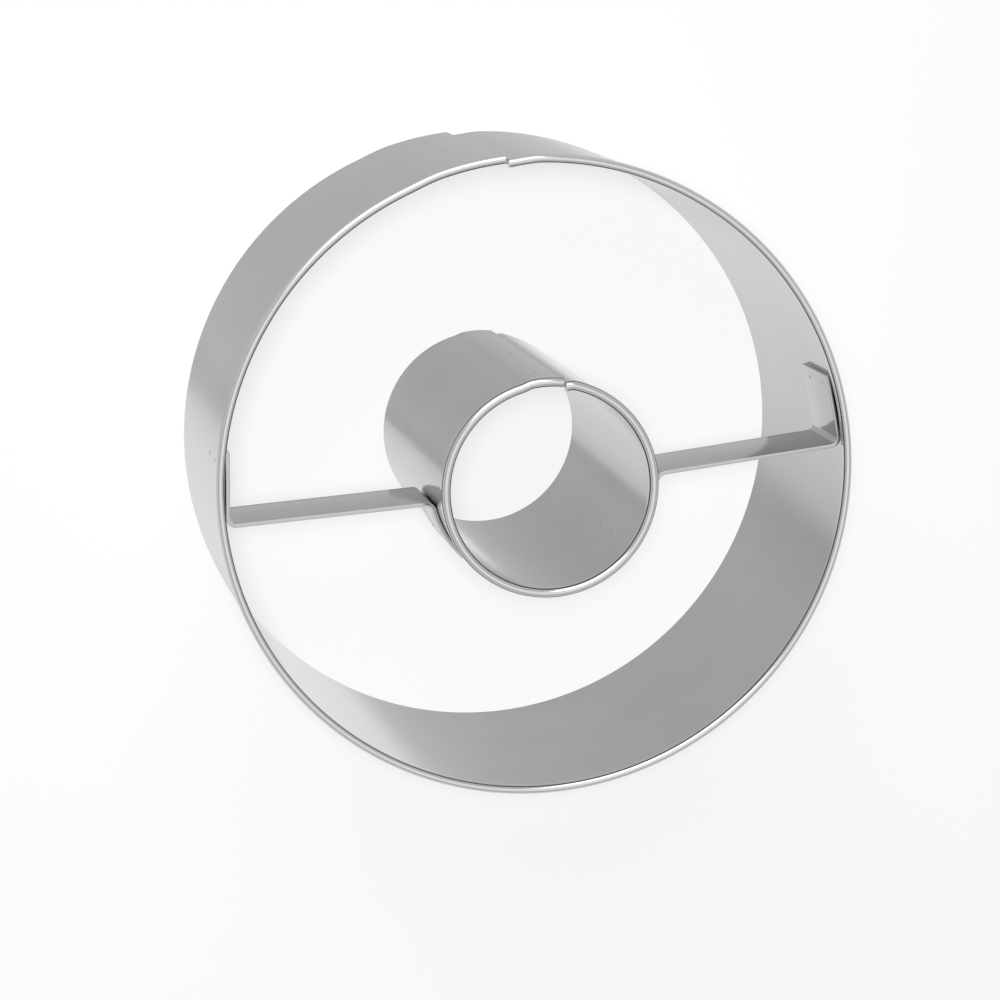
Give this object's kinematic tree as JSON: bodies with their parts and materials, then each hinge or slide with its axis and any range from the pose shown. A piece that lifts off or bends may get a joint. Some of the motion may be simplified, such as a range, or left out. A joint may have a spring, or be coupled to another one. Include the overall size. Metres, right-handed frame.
{
  "type": "doughnut cutter",
  "caption": "Stainless steel doughnut cutter: a small round ring held inside a large one by flat welded struts, with plain cutting edges below and folded safe rims above.",
  "frame": {"origin": "on the axis of the rings, level with both cutting edges", "axes": "+Z along the axis of the rings, from the cutting edges to the folded rims; +X along the struts; +Y towards the lapped seams"},
  "size_m": [0.0806, 0.0808, 0.044],
  "materials": {
    "steel_strip": "satin rolled stainless steel strip, fine grain along its length",
    "weld_steel": "fused steel of a spot weld, duller than the strip"
  },
  "bodies": {
    "root": {"outer_ring": "steel_strip", "inner_ring": "steel_strip", "right_strut": "steel_strip", "left_strut": "steel_strip", "outer_seam_weld_1": "weld_steel", "outer_seam_weld_2": "weld_steel", "inner_seam_weld_1": "weld_steel", "inner_seam_weld_2": "weld_steel", "right_outer_tab_weld_1": "weld_steel", "right_outer_tab_weld_2": "weld_steel", "left_outer_tab_weld_1": "weld_steel", "left_outer_tab_weld_2": "weld_steel", "right_inner_tab_weld_1": "weld_steel", "right_inner_tab_weld_2": "weld_steel", "left_inner_tab_weld_1": "weld_steel", "left_inner_tab_weld_2": "weld_steel"}
  },
  "joints": []
}
